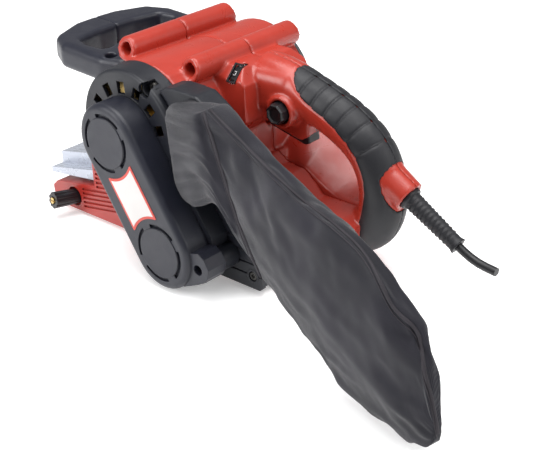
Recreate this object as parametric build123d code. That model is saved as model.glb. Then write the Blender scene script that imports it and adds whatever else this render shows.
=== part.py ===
from build123d import *
import math
import os

os.makedirs("parts", exist_ok=True)

# Handheld belt sander, millimetres.
# +X forward, +Y to the machine's left (drive side), +Z up.
# Origin: on the sole's ground plane, on the mid-plane, under the motor axis.

# ---- driving dimensions -------------------------------------------------
BELT_WIDTH = 76.0
BELT_LENGTH = 457.0
BELT_T = 1.0
GAP = 0.05                      # running clearance on radius
DRUM_R = 28.5                   # over the rubber lagging
ROLLER_R = 20.0
DRUM_X = -45.7
DRUM_Z = DRUM_R + BELT_T
ROLLER_Z = ROLLER_R + BELT_T
MOTOR_Z = 99.8
BARREL_R = 47.6
BARREL_BORE = 44.5
BARREL_RIGHT = -53.0
BARREL_LEFT = 68.0
CAP_FACE = 86.4                 # front face of the vented end cap
COVER_FACE = 107.5              # outer face of the belt-drive cover
COVER_BACK = 86.6
COVER_R = 28.0
COVER_WALL = 2.4
FLAT_Z = 63.6                   # flat under the barrel, above the sanding belt
TUBE_R = 9.0
TUBE_BORE = 4.7
TUBES = ((-30.8, 143.1), (34.0, 145.5))
TUBE_HALF = 53.0
GRIP_R = 16.6
RUBBER_T = 1.5
ARM_FACE = 63.0                 # outer face of the ribbed left arm
ARM_INNER = 42.0
PLATE_FACE = 71.0               # outer face of the rear side plate
PULLEY_PITCH = 3.0
MOTOR_TEETH = 15
DRUM_TEETH = 45


def belt_centres():
    """Centre distance that makes the sanding belt exactly BELT_LENGTH long."""
    big = DRUM_R + BELT_T / 2
    small = ROLLER_R + BELT_T / 2
    dist = 150.0
    for _ in range(30):
        lean = math.asin((big - small) / dist)
        length = 2 * dist * math.cos(lean) + math.pi * (big + small) + 2 * lean * (big - small)
        dist += (BELT_LENGTH - length) / 2
    return dist


ROLLER_X = DRUM_X + math.sqrt(belt_centres() ** 2 - (DRUM_Z - ROLLER_Z) ** 2)
DRIVE_AXIS = (Vector(0, 0, MOTOR_Z), Vector(DRUM_X, 0, DRUM_Z))
DRIVE_DIST = (DRIVE_AXIS[1] - DRIVE_AXIS[0]).length
DRIVE_ANGLE = math.degrees(math.atan2(DRIVE_AXIS[1].Z - DRIVE_AXIS[0].Z, DRIVE_AXIS[1].X - DRIVE_AXIS[0].X))


# ---- helpers --------------------------------------------------------------
def rod(x, z, y0, y1, r, r_end=None):
    """Solid cylinder or cone along Y from y0 to y1."""
    length = y1 - y0
    turn = Rotation(-90, 0, 0)
    if r_end is None:
        return Pos(x, (y0 + y1) / 2, z) * turn * Cylinder(r, length)
    return Pos(x, (y0 + y1) / 2, z) * turn * Cone(r, r_end, length)


def ring(x, z, y0, y1, r_out, r_in):
    return rod(x, z, y0, y1, r_out) - rod(x, z, y0 - 1, y1 + 1, r_in)


def bar(a, b, r):
    """Solid round bar between two points."""
    start, end = Vector(a), Vector(b)
    return Solid.make_cylinder(r, (end - start).length, Plane(start, z_dir=end - start))


def block(x0, x1, y0, y1, z0, z1):
    return Pos((x0 + x1) / 2, (y0 + y1) / 2, (z0 + z1) / 2) * Box(x1 - x0, y1 - y0, z1 - z0)


def side_plate(points, y0, y1):
    """Prism along Y with a polygon outline given as (x, z) points."""
    face = make_face(Polyline(*[(x, y0, z) for x, z in points], close=True))
    return extrude(face, amount=y1 - y0, dir=(0, 1, 0))


def plan_plate(points, z0, z1):
    """Prism along Z with a polygon outline given as (x, y) points."""
    face = make_face(Polyline(*[(x, y, z0) for x, y in points], close=True))
    return extrude(face, amount=z1 - z0, dir=(0, 0, 1))


def stadium(r, y0, y1, centres=DRIVE_AXIS):
    """Prism along Y round two centres."""
    a, b = centres
    mid = (a + b) * 0.5
    shape = SlotCenterToCenter((b - a).length, 2 * r)
    plane = Plane(origin=(mid.X, y0, mid.Z), x_dir=(b - a), z_dir=(0, 1, 0))
    return extrude(plane * shape, amount=y1 - y0, dir=(0, 1, 0))


def screw(x, y, z, direction, length=12.0, head_r=3.4, shank_r=1.9, head_t=2.6):
    """Pan-head cross-recess screw; the head stands out along direction."""
    plane = Plane(origin=(x, y, z), z_dir=direction)
    head = Solid.make_cylinder(head_r, head_t, plane)
    head = fillet(head.edges().group_by(SortBy.LENGTH)[-1].sort_by(Axis(plane.origin, plane.z_dir))[-1:], 1.0)
    shank = Solid.make_cylinder(shank_r, length, Plane(origin=plane.origin, z_dir=-plane.z_dir))
    body = head + shank
    for turn in (0, 90):
        slot = plane * Pos(0, 0, head_t) * Rotation(0, 0, turn) * Box(3.6, 0.9, 2.4)
        body -= slot
    return body


def toothed(x, z, y0, y1, teeth, depth=0.9):
    """Timing pulley with round-bottomed tooth gaps."""
    pitch_r = teeth * PULLEY_PITCH / (2 * math.pi)
    body = rod(x, z, y0, y1, pitch_r - 0.3)
    gap = None
    for i in range(teeth):
        angle = 2 * math.pi * i / teeth
        centre_r = pitch_r - 0.3
        cx = x + centre_r * math.cos(angle)
        cz = z + centre_r * math.sin(angle)
        cut = rod(cx, cz, y0 - 1, y1 + 1, depth * 0.85)
        gap = cut if gap is None else gap + cut
    return body - gap


def save(shape, node):
    export_step(shape, f"parts/{node}.step")


def left_half(shape):
    return shape & block(-300, 300, 0, 200, -50, 300)


def right_half(shape):
    return shape & block(-300, 300, -200, 0, -50, 300)


# ---- rear handle ----------------------------------------------------------
# Centre line of the D-shaped rear handle, from the shoulder block to the heel.
HANDLE_LINE = ((-56, 131), (-72, 129.5), (-90, 124.5), (-108, 118.5), (-122, 113), (-136, 105.5),
               (-147, 96), (-154, 84), (-157.2, 70), (-156.5, 56), (-151, 43.5), (-141, 35.5), (-128, 33))


def handle_path():
    return Spline(*[(x, 0, z) for x, z in HANDLE_LINE])


def handle_tube(r):
    path = handle_path()
    section = Plane(origin=path @ 0, z_dir=path % 0) * Circle(r)
    return sweep(section, path=path)


def grip_mask():
    """Region that the rubber overmould covers, as a prism right across the handle."""
    edge = ((-84, 146), (-86.5, 141.5), (-91, 134.5), (-98, 127.4), (-108.7, 121.5), (-123, 114.4),
            (-136, 105), (-144.2, 97), (-149.5, 88.5), (-152.5, 78.9), (-152.6, 69.9), (-150, 56.3),
            (-145.5, 44.5), (-134, 36.5), (-131, 26))
    inner = Spline(*[(x, -40, z) for x, z in edge])
    corners = ((-131, 26), (-131, 5), (-200, 5), (-200, 175), (-84, 175), (-84, 146))
    outer = Polyline(*[(x, -40, z) for x, z in corners])
    return extrude(make_face(inner + outer), amount=80, dir=(0, 1, 0))


def grip_rubber():
    path = handle_path()
    rubber = handle_tube(GRIP_R) - handle_tube(GRIP_R - RUBBER_T)
    rubber = rubber & grip_mask()
    return rubber - bar(COLLAR_END - CABLE_DIR * 34, COLLAR_END, COLLAR_R + 0.2)


# Cable exit collar at the back of the handle.
COLLAR_R = 13.0
CABLE_DIR = Vector(-0.858, 0, -0.515)
COLLAR_END = Vector(-179.5, 0, 69.6)
SLEEVE_ROOT_R = 8.4


# ---- red motor and handle housing -----------------------------------------
BLOCK_OUTLINE = ((-30, FLAT_Z), (-30, 143), (-55, 142.6), (-63, 132), (-63, 105), (-58, 98), (-58, 66))
FLOOR_OUTLINE = ((-40, 66), (-62, 74), (-72, 67.5), (-87, 66.5), (-99, 56.5), (-105, 50.6), (-139, 50.6),
                 (-150, 46), (-148, 30), (-138, 19), (-124, 16), (-84, 16), (-84, FLAT_Z), (-40, FLAT_Z))
RIM_Y = -34.0                   # outer face of the raised right-hand side of the scoop
SCOOP_LOW = ((-50.3, 66.1), (-62, 67.9), (-72, 68.3), (-80, 68.0), (-87, 66.8), (-93, 62.6), (-99, 58.4),
             (-105, 54.8), (-112, 52.4), (-120, 51.4), (-130, 51.0), (-139, 51.0), (-141.7, 40), (-124, 31),
             (-88, 31), (-84.2, FLAT_Z + 0.1), (-50.3, FLAT_Z + 0.1))
SCOOP_HIGH = ((-50, 92), (-58, 90.6), (-66, 87.8), (-74, 84.5), (-82, 80.8), (-90, 76.6), (-98, 72),
              (-105, 68), (-112, 64), (-120, 60), (-128, 56.5), (-136, 53), (-138, 40), (-124, 30),
              (-88, 30), (-84.3, FLAT_Z + 0.15), (-50, FLAT_Z + 0.15))
SKIRT_OUTLINE = ((-56, 118), (-56, 101), (-64, 97.5), (-92, 91.5), (-99, 96), (-99, 112), (-80, 118))
LOCK_POS = (-83.0, 114.0)
LOCK_FACE = 20.5
LOCK_R = 8.3


def shoulder_block():
    """Faceted shoulder between the barrel and the rear handle."""
    body = side_plate(BLOCK_OUTLINE, -33, 33)
    chamfer_hi = 22.0
    for side in (-1, 1):
        corners = ((chamfer_hi, 146), (36, 146), (36, 131.5))
        wedge = Polyline(*[(-20, side * y, z) for y, z in corners], close=True)
        body -= extrude(make_face(wedge), amount=60, dir=(-1, 0, 0))
    return body


def outline_face(points, y):
    return make_face(Polyline(*[(x, y, z) for x, z in points], close=True))


def scoop_side():
    """Right-hand side of the floor under the handle, rising away from the mid-plane."""
    return loft([outline_face(SCOOP_LOW, -0.5), outline_face(SCOOP_HIGH, RIM_Y)], ruled=True)


def shoulder_fairing():
    """Rounded transition from the shoulder block into the handle."""
    wide = Plane(origin=(-54, 0, 123.4), x_dir=(0, 1, 0), z_dir=(-1, 0, 0)) * RectangleRounded(43, 37, 9)
    narrow = Plane(origin=(-84, 0, 125.6), x_dir=(0, 1, 0), z_dir=(-1, 0, 0)) * RectangleRounded(33, 33, 13)
    return loft([wide, narrow])


def barrel_outer():
    body = rod(0, MOTOR_Z, BARREL_RIGHT, BARREL_LEFT, BARREL_R - 0.4, BARREL_R + 0.3)
    body -= block(-80, 80, -120, 120, 0, FLAT_Z)
    return body


def barrel_bore():
    bore = rod(0, MOTOR_Z, BARREL_RIGHT + 3, BARREL_LEFT + 1, BARREL_BORE)
    bore -= block(-80, 80, -120, 120, 0, FLAT_Z + 2.6)
    return bore


def clamp_tubes():
    """The two cross tubes on top that take bench-clamp rods."""
    body = None
    for x, z in TUBES:
        tube = rod(x, z, -TUBE_HALF - 2.6, TUBE_HALF + 2.6, TUBE_R)
        for side in (-1, 1):
            cut = Pos(x, side * (TUBE_HALF + 10), z) * Rotation(side * 13, 0, 0) * Box(60, 20, 60)
            tube -= cut
        foot = x * 0.5
        outline = ((x - 6, z - 4), (x + 6, z - 4), (foot + 8, MOTOR_Z + 30), (foot - 8, MOTOR_Z + 30))
        web = side_plate(outline, -TUBE_HALF + 4, TUBE_HALF - 4)
        body = tube + web if body is None else body + tube + web
    return body


def tube_bores():
    body = None
    for x, z in TUBES:
        bore = rod(x, z, -TUBE_HALF - 3, TUBE_HALF + 3, TUBE_BORE)
        body = bore if body is None else body + bore
    return body


STATOR_R = 33.0
RIB_BORE = STATOR_R + 0.02


def housing_ribs():
    """Rings inside the barrel that hold the stator, and the right bearing wall."""
    body = None
    for y0 in (-4.0, 22.0):
        rib = ring(0, MOTOR_Z, y0, y0 + 3, BARREL_BORE + 0.5, RIB_BORE)
        body = rib if body is None else body + rib
    wall = rod(0, MOTOR_Z, -49.5, -47.5, BARREL_BORE + 0.5) + rod(0, MOTOR_Z, -48, -40.5, 14)
    wall -= rod(0, MOTOR_Z, -47.0, -40, 11.0)
    wall -= rod(0, MOTOR_Z, -60, -40, 6)
    for i in range(8):
        a = math.radians(22.5 + 45 * i)
        wall -= rod(28 * math.cos(a), MOTOR_Z + 28 * math.sin(a), -52, -46, 7.0)
    body += wall
    return body - block(-80, 80, -120, 120, 0, FLAT_Z + 2.0)


SWITCH_BOX = (-93.0, -64.0, -7.0, 7.0, 119.5, 132.0)
FACET_MID = (29.0, 138.75)      # (y, z) middle of the shoulder's left facet
FACET_TILT = 46.0               # degrees from vertical
DIAL_X = -51.0
DIAL_R = 11.0
DIAL_DEPTH = 11.4               # dial axis below the facet
DIAL_T = 4.6
TRIGGER_PIN = (-53.0, 105.0)
TRIGGER_PIN_R = 1.5
TRIGGER_SLOT = ((-46.8, 121), (-46.8, 98.5), (-57, 94), (-62, 80), (-98, 80), (-98, 121))


def facet_plane(depth=0.0):
    """Plane on the shoulder's left facet, z outward, sunk by depth."""
    up = Vector(0, math.sin(math.radians(FACET_TILT)), math.cos(math.radians(FACET_TILT)))
    mid = Vector(DIAL_X, FACET_MID[0], FACET_MID[1])
    return Plane(origin=mid - up * depth, x_dir=(1, 0, 0), z_dir=up)


def dial_disc(r, width):
    centre = facet_plane(DIAL_DEPTH).origin
    return Pos(*centre) * Rotation(0, 90, 0) * Cylinder(r, width)


def speed_dial():
    disc = dial_disc(DIAL_R, DIAL_T)
    notches = None
    centre = facet_plane(DIAL_DEPTH).origin
    for i in range(24):
        a = math.radians(15 * i)
        place = Pos(DIAL_X, centre.Y + DIAL_R * math.cos(a), centre.Z + DIAL_R * math.sin(a))
        notch = place * Rotation(0, 90, 0) * Cylinder(0.55, DIAL_T + 1)
        notches = notch if notches is None else notches + notch
    return disc - notches - dial_disc(1.55, 20)


def dial_bezel():
    plate = facet_plane(1.2) * Box(8.0, 15.0, 1.2, align=(Align.CENTER, Align.CENTER, Align.MIN))
    return plate - facet_plane(3) * Box(5.4, 12.8, 10)


def screw_hole(x, y, z, direction, length=12.0, head_r=3.4, depth=30.0):
    """Clearance for a screw: shank hole and open counterbore."""
    plane = Plane(origin=(x, y, z), z_dir=direction)
    shank = Solid.make_cylinder(1.95, length + 0.5, Plane(origin=plane.origin, z_dir=-plane.z_dir))
    return shank + Solid.make_cylinder(head_r + 0.4, depth, plane)


HOUSING_SCREWS = ((-120, 30), (-145, 33), (-92, 56), (-50, 70), (-52, 84), (-42, 124.5), (-112, 117))
FRONT_HANDLE_SCREWS = ((58.0, 47.0), (58.0, -47.0))


def housing_screw_places():
    """Screws from the right half into the left, heads in deep counterbores."""
    for x, z in HOUSING_SCREWS:
        yield (x, -6.0, z, (0, -1, 0))


def housing_solid():
    body = barrel_outer() + clamp_tubes() + shoulder_block()
    body += side_plate(FLOOR_OUTLINE, -24, 24)
    body += scoop_side()
    body += shoulder_fairing()
    body += handle_tube(GRIP_R)
    body += side_plate(SKIRT_OUTLINE, -9.5, 9.5)
    body += rod(LOCK_POS[0], LOCK_POS[1], 0, LOCK_FACE, LOCK_R + 3.2)
    body += Solid.make_cone(COLLAR_R, 11.6, 34, Plane(origin=COLLAR_END - CABLE_DIR * 34, z_dir=CABLE_DIR))
    body += rod(CAP_SCREW[0], CAP_SCREW[1], 48, BARREL_LEFT, 6.0)
    body -= barrel_bore() + tube_bores()
    body -= block(-59.5, -47, -26, 18, 108, 137)
    body -= dial_disc(DIAL_R + 0.6, DIAL_T + 1.0)
    body -= facet_plane(1.25) * Box(8.2, 15.2, 4, align=(Align.CENTER, Align.CENTER, Align.MIN))
    path = handle_path()
    body -= sweep(Plane(origin=path @ 0, z_dir=path % 0) * Circle(GRIP_R - 3.2), path=path)
    body -= side_plate(TRIGGER_SLOT, -6.2, 6.2)
    body -= block(-132, -88, -19, 19, 21, 44)
    body -= rod(LOCK_POS[0], LOCK_POS[1], 9, 40, LOCK_R + 0.1)
    body -= rod(TRIGGER_PIN[0], TRIGGER_PIN[1], -8.5, 8.5, TRIGGER_PIN_R + GAP)
    body -= bar(COLLAR_END - CABLE_DIR * 24, COLLAR_END + CABLE_DIR * 36, SLEEVE_ROOT_R + 0.1)
    body += housing_ribs()
    body += housing_posts()
    for x, y, z, direction in housing_screw_places():
        body -= screw_hole(x, y, z, direction)
    body -= screw_hole(CAP_SCREW[0], 76, CAP_SCREW[1], (0, 1, 0), length=14)
    body -= rod_path(TUBE_HALF + 3)
    body -= grip_rubber()
    body -= front_handle_solid()
    return body


def rod_path(start=TUBE_HALF + 0.4):
    """Room for a clamp rod beyond the left end of the rear tube."""
    x, z = TUBES[0]
    return rod(x, z, start, 120, TUBE_BORE + 0.6)


def housing_posts():
    """Screw posts that bridge the hollow parts of the two halves."""
    body = None
    for x, z, reach in ((-120, 30, 20), (-112, 117, 13)):
        post = rod(x, z, -reach, reach, 6.0)
        body = post if body is None else body + post
    return body


# ---- front handle -----------------------------------------------------------
def front_handle_solid():
    """Closed loop handle, seen from above a rounded D, tilted up to the front."""
    half = 57.0
    outer = ((40, -50), (60, -half), (104, -half), (123, -47), (133.5, -20), (134.5, 0), (133.5, 20),
             (123, 47), (104, half), (60, half), (40, 50))
    inner = ((76, -24), (71, -42), (88, -44.5), (101, -41), (105, -18), (105.5, 0), (105, 18), (101, 41),
             (88, 44.5), (71, 42), (76, 24), (79, 0))
    z0 = 115.2
    z1 = 135.6
    outer_face = make_face(Polyline(*[(x, y, z0) for x, y in outer], close=True))
    outer_face = fillet(outer_face.vertices(), 9)
    body = extrude(outer_face, amount=z1 - z0, dir=(0, 0, 1))
    body = fillet(body.edges().group_by(Axis.Z)[-1], 6.5)
    body = fillet(body.edges().group_by(Axis.Z)[0], 5.0)
    inner_face = make_face(Polyline(*[(x, y, z0 - 5) for x, y in inner], close=True))
    inner_face = fillet(inner_face.vertices(), 5)
    hole = extrude(inner_face, amount=40, dir=(0, 0, 1))
    body -= hole
    rim = [e for e in body.edges().group_by(Axis.Z)[-1] if e.center().X < 106 and e.length > 1]
    body = fillet(rim, 3.5)
    tilt = Pos(60, 0, 125) * Rotation(0, -3.2, 0) * Pos(-60, 0, -125)
    body = tilt * body
    body -= rod(0, MOTOR_Z, -80, 80, BARREL_R + 0.6)
    body -= rod(TUBES[1][0], TUBES[1][1], -80, 80, TUBE_R + 2.5)
    for x, y in FRONT_HANDLE_SCREWS:
        body -= screw_hole(x, y, 124, (0, 0, 1), head_r=4.2)
    return body


# ---- end caps ---------------------------------------------------------------
CAP_SCREW = (-21.2, 136.6)
WINDOW_R = 33.8


def cap_window_angles():
    return [85 + 26 * k for k in range(-4, 4)]


def vented_end_cap():
    body = rod(0, MOTOR_Z, BARREL_LEFT + 0.1, CAP_FACE, 48.0, 46.6)
    body = fillet(body.edges().sort_by(Axis.Y)[-1], 2.6)
    body -= rod(0, MOTOR_Z, BARREL_LEFT - 1, CAP_FACE - 2.6, 44.7)
    body -= rod(0, MOTOR_Z, 70, 100, 15)
    for angle in cap_window_angles():
        a = math.radians(angle)
        place = Pos(WINDOW_R * math.cos(a), 85, MOTOR_Z + WINDOW_R * math.sin(a)) * Rotation(0, -angle, 0)
        body -= place * Box(9.0, 10, 7.4)
    channel = rod(CAP_SCREW[0], CAP_SCREW[1], 76, 100, 5.4)
    shell = rod(CAP_SCREW[0], CAP_SCREW[1], BARREL_LEFT + 0.1, 82, 7.0) & rod(0, MOTOR_Z, 60, 90, 47.4)
    body += shell
    body -= channel
    body -= screw_hole(CAP_SCREW[0], 76, CAP_SCREW[1], (0, 1, 0))
    return body - rod_path()


def right_end_cap():
    body = rod(0, MOTOR_Z, BARREL_RIGHT - 9, BARREL_RIGHT - 0.1, 41, 46.6)
    body = fillet(body.edges().sort_by(Axis.Y)[0], 3)
    body -= rod(0, MOTOR_Z, BARREL_RIGHT - 6.5, BARREL_RIGHT + 1, 38, 43.5)
    body -= block(-80, 80, -100, 0, 0, FLAT_Z)
    for x, z in TUBES:
        body -= rod(x, z, -80, 0, TUBE_R + 0.4)
    for i in range(9):
        z = MOTOR_Z - 24 + 6 * i
        half = math.sqrt(max(34 ** 2 - (z - MOTOR_Z) ** 2, 1.0))
        body -= block(-half, half, -70, -54, z - 1.4, z + 1.4)
    return body + rod(0, MOTOR_Z, BARREL_RIGHT - 9, BARREL_RIGHT - 6.4, 9)


# ---- belt drive cover -------------------------------------------------------
EAR = (-79.2, 25.6)
EAR_FACE = 103.5
EAR_SEAT = 94.0
EAR_OUTLINE = ((-52, 8), (-64.3, 7.8), (-77.7, 13.7), (-85.9, 18.1), (-88.2, 21.6), (-89.7, 28.3),
               (-85.6, 35.3), (-80.2, 38.5), (-66, 34.5), (-56, 30))


def disc_slots(x, z):
    """Four arc slots round one pulley axis."""
    body = None
    for k in range(4):
        mid = DRIVE_ANGLE + 45 + 90 * k
        points = [(x, z)]
        for s in range(7):
            a = math.radians(mid - 33 + 11 * s)
            points.append((x + 40 * math.cos(a), z + 40 * math.sin(a)))
        sector = side_plate(points, COVER_FACE - 2.0, COVER_FACE + 2)
        sector = sector & ring(x, z, COVER_FACE - 3, COVER_FACE + 3, 21.3, 18.7)
        body = sector if body is None else body + sector
    return body


def drive_cover():
    body = stadium(COVER_R, COVER_BACK, COVER_FACE)
    body = fillet(body.faces().sort_by(Axis.Y)[-1].edges(), 4.6)
    body += side_plate(EAR_OUTLINE, COVER_BACK, EAR_FACE)
    body -= stadium(COVER_R - COVER_WALL, COVER_BACK - 1, COVER_FACE - COVER_WALL)
    for centre in DRIVE_AXIS:
        body += rod(centre.X, centre.Z, COVER_FACE - 0.4, COVER_FACE + 0.5, 18.4)
        body -= disc_slots(centre.X, centre.Z)
    return body - screw_hole(EAR[0], EAR_SEAT, EAR[1], (0, 1, 0))


def rating_label():
    along = (DRIVE_AXIS[1] - DRIVE_AXIS[0]).normalized()
    mid = (DRIVE_AXIS[0] + DRIVE_AXIS[1]) * 0.5 + Vector(0, COVER_FACE + 0.02, 0)
    plane = Plane(origin=mid, x_dir=along, z_dir=(0, 1, 0))
    body = plane * Box(40, 29, 0.3, align=(Align.CENTER, Align.CENTER, Align.MIN))
    for centre in DRIVE_AXIS:
        body -= rod(centre.X, centre.Z, 100, 115, 25.5)
    return body


# ---- black lower housing, side plate and dust path ----------------------------
def drive_housing():
    """Block between the drive cover and the frame, under the vented cap."""
    outline = ((20, 3.2), (-64, 3.2), (-70, 9), (-76.5, 20), (-76.5, 42), (-63, 62), (-49, 80), (-30, 95),
               (30, 95), (24, 60), (-12, 8))
    body = side_plate(outline, PLATE_FACE + 0.1, CAP_FACE)
    body = body & (stadium(40, 60, 100) + side_plate(((-40, 0), (-72, 0), (-78, 22), (-50, 45)), 60, 100))
    body -= rod(0, MOTOR_Z, 60, 100, 48.2)
    body -= rod(DRIVE_AXIS[1].X, DRIVE_AXIS[1].Z, 60, 100, 19.0)
    body += rod(EAR[0], EAR[1], PLATE_FACE + 0.3, CAP_FACE, 8.5)
    return body - screw_hole(EAR[0], EAR_SEAT, EAR[1], (0, 1, 0))


SIDE_SCREWS = ((-78.5, 51.5), (-99.0, 13.5))


def side_cover():
    """Grooved plate closing the dust chamber on the left."""
    outline = ((-60, 3.8), (-105, 3.8), (-107.5, 6), (-104, 62), (-100, 66), (-48, 66), (-30, 60), (-20, 30),
               (-30, 3.8))
    body = side_plate(outline, 67.6, PLATE_FACE)
    body -= rod(0, MOTOR_Z, 60, 100, 48.2)
    body -= rod(DRUM_X, DRUM_Z, 60, 100, 19.0)
    for k in range(5):
        z = 14.5 + 8.6 * k
        body -= block(-120, -66, PLATE_FACE - 0.9, PLATE_FACE + 2, z - 0.7, z + 0.7)
    for x, z in SIDE_SCREWS:
        body += rod(x, z, 67.6, PLATE_FACE + 0.2, 5.4)
        body -= screw_hole(x, PLATE_FACE - 2.6, z, (0, 1, 0))
    return body


def dust_chamber():
    """Box behind the drum that gathers the dust and leads it up to the duct."""
    body = block(-105, -84.1, 24.6, 67.5, 5, 64) - block(-102.5, -86.5, 27, 66, 7.5, 70)
    body += block(-84.2, -79.4, 50, 67.5, 30, 64) - block(-90, -70, 52, 66, 32, 70)
    for x, z in SIDE_SCREWS:
        body -= screw_hole(x, PLATE_FACE - 2.6, z, (0, 1, 0))
    return body


DUCT_OUTLINE = ((-104, 66.2), (-61.5, 66.2), (-50.5, 80.5), (-48, 86), (-48, 112), (-42, 124), (-31, 133),
                (-31, 139.5), (-44, 141.8), (-66, 141), (-82, 131), (-90, 105), (-98, 84))
COLLAR_Y = 82.0
MOUTH = (Vector(-64.5, 0, 123.0), Vector(-68.0, 0, 84.0))


def dust_duct():
    body = side_plate(DUCT_OUTLINE, 62.5, COLLAR_Y)
    body -= rod(0, MOTOR_Z, 50, 100, 48.3)
    body -= stadium(11.5, 65, 100, MOUTH)
    body -= rod(MOUTH[0].X, MOUTH[0].Z, 60, 90, 9) & block(-200, 0, 65, 100, 0, 200)
    spout = stadium(12.8, COLLAR_Y - 1, COLLAR_Y + 6, MOUTH)
    return body + spout - stadium(11.5, COLLAR_Y - 5, COLLAR_Y + 8, MOUTH) - rod_path()


def bag_collar():
    hole = stadium(12.9, COLLAR_Y - 1, COLLAR_Y + 9, MOUTH)
    return stadium(15.6, COLLAR_Y + 0.2, COLLAR_Y + 7, MOUTH) - hole


# Stations of the dust bag: centre (x, y, z), half height, half thickness.
BAG_STATIONS = (((-84, 99, 108), 30, 9), ((-112, 110, 92), 34, 17), ((-150, 121, 74), 35, 22),
                ((-200, 130, 54), 33, 21), ((-250, 137, 36), 26, 15), ((-292, 141, 22), 13, 7))


def dust_bag():
    """Plain closed pouch in the space of the filled fabric bag."""
    sections = []
    count = len(BAG_STATIONS)
    for i, (centre, half_h, half_t) in enumerate(BAG_STATIONS):
        before = Vector(*BAG_STATIONS[max(i - 1, 0)][0])
        after = Vector(*BAG_STATIONS[min(i + 1, count - 1)][0])
        along = (after - before).normalized()
        side = Vector(0, 0, 1).cross(along).normalized()
        plane = Plane(origin=centre, x_dir=side, z_dir=along)
        sections.append(plane * Ellipse(half_t, half_h))
    body = loft(sections)
    neck = stadium(11.0, COLLAR_Y + 7.2, 100, MOUTH)
    return body + neck


# ---- red base frame -------------------------------------------------------------
KNOB_BASE = Vector(101.3, ARM_FACE, 14.0)
KNOB_DIR = Vector(0.15, 0.98, 0.13).normalized()
RIB_SLOPE = -0.172
HUB_R = 18.0
BEARING_OD_R = 13.0
BEAM = (-12.0, 67.7, -36.0, 43.0, 3.9, 31.0)
PLATEN = (-24.0, 86.0)


def arm_outline():
    return ((-79, 3.0), (109, 3.0), (120, 5.5), (127, 11), (127.4, 17), (122, 21.8), (110.5, 24.0),
            (75.3, 30.0), (75.3, 52), (62, 62.0), (-79, 62.0))


def arm_grooves():
    """Parallel grooves that leave the ribs standing on the arm and side wall."""
    body = None
    pitch = 3.7
    for k in range(16):
        z = 27.0 - pitch * k + 33.0
        x0, x1 = (-76, 73.0) if z > 28.5 else (-76, 91.0)
        height = 1.9
        z0 = z + RIB_SLOPE * (x0 - 75.0)
        z1 = z + RIB_SLOPE * (x1 - 75.0)
        if z1 < 7.0:
            continue
        corners = ((x0, z0), (x1, z1), (x1, z1 - height), (x0, z0 - height))
        cut = side_plate(corners, ARM_FACE - 1.3, ARM_FACE + 2)
        body = cut if body is None else body + cut
    return body - block(-90, 130, 40, 70, -20, 4.6)


def base_frame():
    wall = side_plate(arm_outline(), 49, ARM_FACE)
    wall += side_plate(((-79, 3.0), (70, 3.0), (70, 52), (62, 62), (-79, 62)), ARM_INNER, 50)
    wall -= arm_grooves()
    wall -= side_plate(((8, 6), (62, 6), (62, 48), (-8, 48)), ARM_INNER - 1, 57)
    wall -= side_plate(((80, 6), (94, 6), (94, 22), (80, 24)), 45, 57)
    boss = rod(KNOB_BASE.X, KNOB_BASE.Z, ARM_FACE - 3, ARM_FACE + 0.1, 10.2)
    wall += boss
    wall -= bar(KNOB_BASE - KNOB_DIR * 3.6, KNOB_BASE + KNOB_DIR * 12, 7.8)
    wall += rod(DRUM_X, DRUM_Z, ARM_INNER, 70.4, HUB_R)
    wall -= rod(DRUM_X, DRUM_Z, 43.9, 80, BEARING_OD_R + 0.01)
    wall -= rod(DRUM_X, DRUM_Z, 30, 80, 9.0)
    deck = side_plate(((-82, 60.7), (-82, 63.4), (46, 63.4), (60, 57), (60, 53.8), (44, 60.7)), -42, 50)
    rear = block(-82, -79, -42, 50, 8, 63)
    beam = block(*BEAM)
    beam -= block(40.2, 80, -9.1, 9.1, 13.9, 28.1)
    beam -= rod_x(20, 43, 0, 21, 5.2)
    beam -= block(23, 71, -50, -25, 13, 31.5)
    beam -= rod_z(30, -33.5, 3, 32, 2.52)
    body = wall + deck + rear + beam
    for x in (0, 60):
        body -= rod_z(x, 25, 3, 15, 1.95)
        body -= rod_z(x, -22, 3, 15, 1.95)
    body -= screw_hole(SIDE_SCREWS[0][0], PLATE_FACE - 2.6, SIDE_SCREWS[0][1], (0, 1, 0))
    return body - bar(KNOB_BASE - KNOB_DIR * 40, KNOB_BASE + KNOB_DIR * 12, 2.56)


def rod_x(x0, x1, y, z, r):
    return Pos((x0 + x1) / 2, y, z) * Rotation(0, 90, 0) * Cylinder(r, x1 - x0)


def rod_z(x, y, z0, z1, r):
    return Pos(x, y, (z0 + z1) / 2) * Cylinder(r, z1 - z0)


GUARD_SLOPE = 0.205
GUARD_TIP = (131.0, 30.5)
GUARD_REAR = 70.6
GUARD_STEP = 9.6
GUARD_SHEET = 1.5


def guard_z(x):
    return GUARD_TIP[1] + (GUARD_TIP[0] - x) * GUARD_SLOPE


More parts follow.
